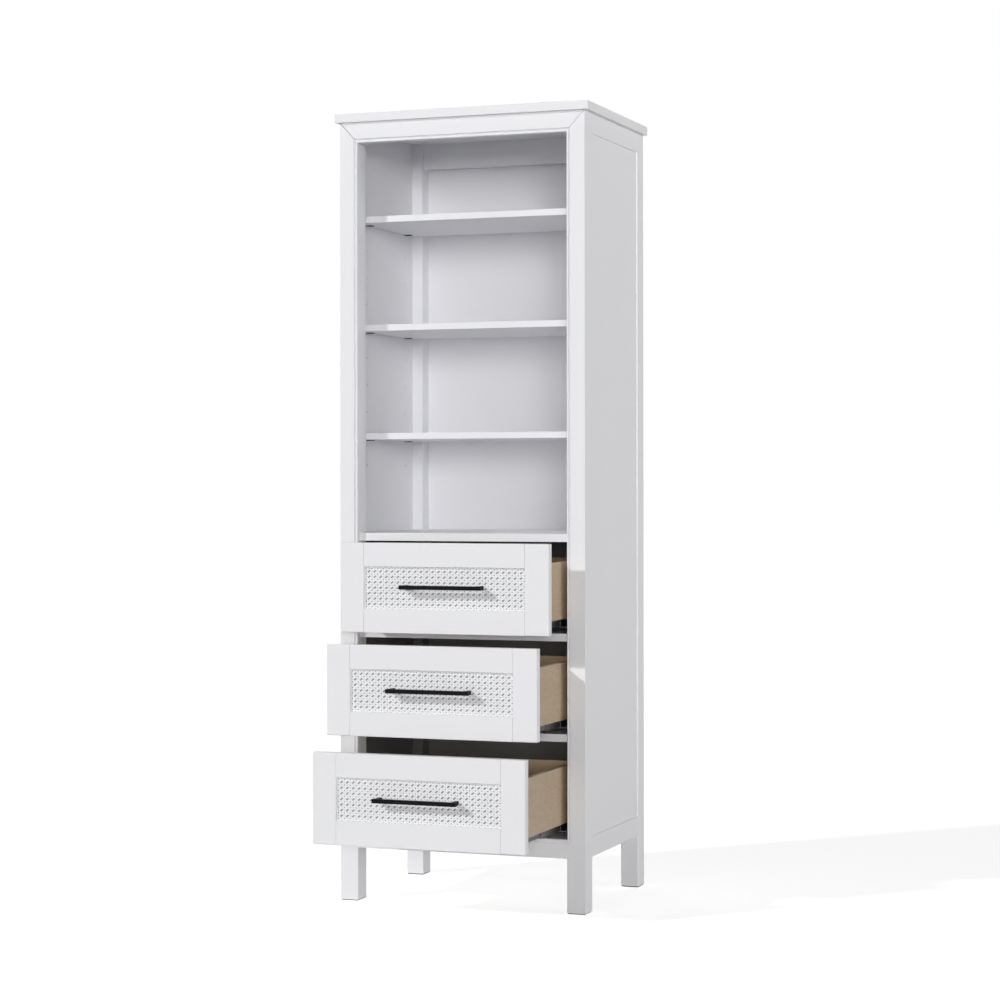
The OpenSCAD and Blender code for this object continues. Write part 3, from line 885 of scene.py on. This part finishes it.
def cane_mesh(x_half, z0, z1):
    """Pairs of upright, level and rising strands, and single falling ones, TUCK past the edges."""
    verts, faces = [], []
    mid = (z0 + z1) / 2
    lo_x, hi_x, lo_z, hi_z = -x_half - TUCK, x_half + TUCK, z0 - TUCK, z1 + TUCK
    step_x, step_z = PITCH_X / STRAND_STEPS, PITCH_Z / STRAND_STEPS

    def upright(x, e):
        return [(x, z, e * WEAVE * odd_bump((z - mid) / PITCH_Z + 0.5, PITCH_Z))
                for z in samples(lo_z, hi_z, step_z)]

    def level(z, e):
        return [(x, z, -e * WEAVE * odd_bump(x / PITCH_X + 0.5, PITCH_X))
                for x in samples(lo_x, hi_x, step_x)]

    reach = int(x_half / PITCH_Z) + 2
    for k in range(-reach, reach + 1):
        for e in (-1, 1):
            x = (k + 0.5) * PITCH_X + e * PAIR
            if lo_x < x < hi_x:
                strand(verts, faces, upright(x, e), STRAND_W)
            z = mid + (k + 0.5) * PITCH_Z + e * PAIR
            if lo_z < z < hi_z:
                strand(verts, faces, level(z, e), STRAND_W)
    reach += int((z1 - z0) / PITCH_Z) + 2
    slope = PITCH_Z / PITCH_X
    slanted = ((1, RISING_W, -RISING_PAIR), (1, RISING_W, RISING_PAIR), (-1, FALLING_W, 0))
    for k in range(-reach, reach + 1):
        for sign, width, shift in slanted:
            c = (k + 0.5) * PITCH_X + shift
            low, high = sorted(((lo_x - c) * sign * slope, (hi_x - c) * sign * slope))
            low, high = max(low, lo_z - mid), min(high, hi_z - mid)
            if high - low < PITCH_Z / 4:
                continue
            path = []
            for dz in samples(low, high, step_z):
                x = c + sign * dz / slope
                path.append((x, mid + dz, -sign * DIVE * math.cos(2 * math.pi * x / PITCH_X)))
            strand(verts, faces, path, width)
    return verts, faces


def build_cane(h, y, z0, z1):
    """Webbing and the board behind it, between the stiles and from z0 to z1."""
    body, node = f"{h}_drawer", f"{h}_drawer_cane_panel"
    plane = y + CANE_DEPTH + CANE_LIFT
    verts, faces = cane_mesh(STILE_X, z0, z1)
    mesh = bpy.data.meshes.new("strands")
    mesh.from_pydata([(a * MM, (plane - b) * MM, c * MM) for a, b, c in verts], [], faces)
    mesh.validate()
    bm = bmesh.new()
    bm.from_mesh(mesh)
    bpy.data.meshes.remove(mesh)
    bmesh.ops.recalc_face_normals(bm, faces=bm.faces[:])
    ob = to_object(f"{h}_cane_webbing", bm)
    smooth_by_angle(ob, 60)
    dress(ob, body, "cane", [node])
    # The backing board's grey stands for the shade that falls in the webbing's holes
    board(f"{h}_cane_backing", (-STILE_X, plane + CANE_BACK, z0), (STILE_X, y + DRAWER_T, z1),
          body, "cane_back", [node], EASE["backing"])


# Drawers

def build_drawer(h, d):
    body = f"{h}_drawer"
    y, z0, z1 = FRONT_Y - d["open"], d["z0"], d["z1"]
    back = y + DRAWER_T
    ease, joint = EASE["front"], EASE["front_joint"]
    for side, s in SIDES:
        low, high = flipped_box((STILE_X, y, z0), (DRAWER_X, back, z1), s)
        board(f"{h}_{side}_stile", low, high, body, "paint", [f"{h}_drawer_stiles"], ease,
              rules=[("x", STILE_X, joint), ("y", back, EASE["front_back"])], segments=4)
    low, high = z0 + FRONT_RAIL, z1 - FRONT_RAIL
    end = STILE_X - JOINT_GAP
    for level, a, b, inner in (("lower", z0, low, low), ("upper", high, z1, high)):
        board(f"{h}_{level}_rail", (-end, y, a), (end, back, b), body, "paint",
              [f"{h}_drawer_rails"], ease,
              rules=[("x", end, joint), ("z", inner, EASE["front_recess"]),
                     ("y", back, EASE["front_back"])], segments=4)
    build_cane(h, y, low, high)
    build_pull(h, y, (z0 + z1) / 2 + PULL_RISE)
    build_box(h, back, z0 + BOX_RISE)


def build_pull(h, y, z):
    """Square bar on two posts that end in the webbing, with screws from inside the box."""
    body, node = f"{h}_drawer", f"{h}_drawer_pull"
    s = PULL_S / 2
    bar = y - PULL_OUT
    seat = y + CANE_DEPTH + 2 * CANE_LIFT
    bm = bmesh.new()
    block(bm, (-PULL_HALF, bar, z - s), (PULL_HALF, bar + PULL_S, z + s))
    eased(f"{h}_pull_bar", bm, body, "black", [node], EASE["pull"])
    bm = bmesh.new()
    block(bm, (PULL_POST_X - s, bar + PULL_S - PULL_OVERLAP, z - s), (PULL_POST_X + s, seat, z + s))
    mirrored(bm)
    eased(f"{h}_pull_posts", bm, body, "black", [node], EASE["pull_post"],
          rules=[("y", seat, EASE["pull_seat"])])
    head = y + DRAWER_T + BOX_T
    screws(f"{h}_pull_screw_heads", [(x, head, z) for x in (-PULL_POST_X, PULL_POST_X)],
           PULL_SCREW, body, [f"{h}_drawer_pull_screws"])


def build_box(h, y0, z0):
    """Box behind the drawer's front, from y0 to the back and from z0 up."""
    body = f"{h}_drawer"
    y1, x0 = y0 + BOX_D, BOX_X - BOX_T
    floor, top = z0 + BOTTOM_RISE, z0 + BOX_H
    joint = EASE["box_joint"]
    bm = bmesh.new()
    block(bm, (x0, y0, z0), (BOX_X, y1, top))
    mirrored(bm)
    eased(f"{h}_box_side_boards", bm, body, "birch", [f"{h}_drawer_box_sides"], EASE["box"],
          rules=[("y", y0, joint), ("z", z0, EASE["box_foot"])])
    bm = bmesh.new()
    for y in (y0, y1 - BOX_T):
        block(bm, (-x0, y, floor), (x0, y + BOX_T, top))
    eased(f"{h}_box_end_boards", bm, body, "birch_x", [f"{h}_drawer_box_ends"], EASE["box"],
          rules=[("x", x0, joint), ("z", floor, EASE["box_end_foot"]), ("y", y0, joint)])
    board(f"{h}_box_bottom_board", (-x0, y0 + BOX_T, floor), (x0, y1 - BOX_T, floor + BOTTOM_T),
          body, "birch_x", [f"{h}_drawer_bottom"], joint)


# Carried-over CAD nodes

def dress_cad():
    # The side and back panels' lower inside is bare board darkened as painted shade of the drawer
    # bay
    keys = {"left_side_panel": "paint_side", "right_side_panel": "paint_side",
            "back_panel": "paint_back"}
    for h in DRAWERS:
        for n in ("drawer_runners", "slide_middle_members", "slide_cabinet_members"):
            keys[f"{h}_{n}"] = "zinc"
    for node, key in keys.items():
        coat(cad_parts[node], key)


# Stage, lamps and camera

def seen(nt):
    """1 for the rays that see the background: straight on, in a gloss or through glass."""
    def ray(name):
        return nt.nodes.new("ShaderNodeLightPath").outputs[name]

    either = math_node(nt, "MAXIMUM", ray("Is Camera Ray"), ray("Is Glossy Ray"))
    return math_node(nt, "MAXIMUM", either, ray("Is Transmission Ray"))


def build_stage():
    r = FLOOR_HALF
    bm = bmesh.new()
    prism(bm, [(-r, -r), (r, -r), (r, r), (-r, r)], "z", -FLOOR_T, 0)
    floor = to_object("floor", bm)
    m = bpy.data.materials.new("floor_white")
    m.use_nodes = True
    nt = m.node_tree
    nt.nodes.clear()
    out = nt.nodes.new("ShaderNodeOutputMaterial")
    diffuse = nt.nodes.new("ShaderNodeBsdfDiffuse")
    diffuse.inputs["Color"].default_value = (FLOOR_GREY, FLOOR_GREY, FLOOR_GREY, 1)
    glow = nt.nodes.new("ShaderNodeEmission")
    glow.inputs["Color"].default_value = (1, 1, 1, 1)
    both = nt.nodes.new("ShaderNodeAddShader")
    nt.links.new(math_node(nt, "MULTIPLY", seen(nt), FLOOR_GLOW), glow.inputs["Strength"])
    nt.links.new(diffuse.outputs[0], both.inputs[0])
    nt.links.new(glow.outputs[0], both.inputs[1])
    nt.links.new(both.outputs[0], out.inputs["Surface"])
    floor.data.materials.append(m)


def build_world():
    world = bpy.data.worlds.new("studio")
    bpy.context.scene.world = world
    world.use_nodes = True
    nt = world.node_tree
    nt.nodes.clear()
    out = nt.nodes.new("ShaderNodeOutputWorld")
    back = nt.nodes.new("ShaderNodeBackground")
    back.inputs["Color"].default_value = (1, 1, 1, 1)
    nt.links.new(remap(nt, seen(nt), SKY, 1.0, 0.0, 1.0), back.inputs["Strength"])
    nt.links.new(back.outputs[0], out.inputs["Surface"])


def build_lamps():
    for name, (travel, strength, angle) in LAMPS.items():
        data = bpy.data.lights.new(name, "SUN")
        data.energy = strength
        data.angle = math.radians(angle)
        ob = bpy.data.objects.new(name, data)
        ob.rotation_euler = Vector(travel).to_track_quat("-Z", "Y").to_euler()
        ob.location = LAMP_AT
        bpy.context.scene.collection.objects.link(ob)


def build_camera():
    data = bpy.data.cameras.new("camera")
    data.lens = CAM_LENS
    data.sensor_width = CAM_SENSOR
    data.shift_x, data.shift_y = CAM_SHIFT
    data.clip_end = CAM_FAR
    ob = bpy.data.objects.new("camera", data)
    turn = Matrix.Rotation(math.radians(CAM_YAW), 4, "Z") @ Matrix.Rotation(math.pi / 2, 4, "X")
    roll = Matrix.Rotation(math.radians(CAM_ROLL), 4, "Z")
    ob.matrix_world = Matrix.Translation(CAM_AT) @ turn @ roll
    bpy.context.scene.collection.objects.link(ob)
    bpy.context.scene.camera = ob


build_camera()
build_world()
build_lamps()
build_stage()
build_top()
build_posts()
build_face_rails()
build_bead()
build_sides()
build_back()
build_inner_boards()
build_shelves()
build_cleats()
build_pads()
build_supports()
build_back_screws()
for height, drawer in DRAWERS.items():
    build_drawer(height, drawer)
dress_cad()

bpy.context.scene.view_settings.view_transform = "Standard"
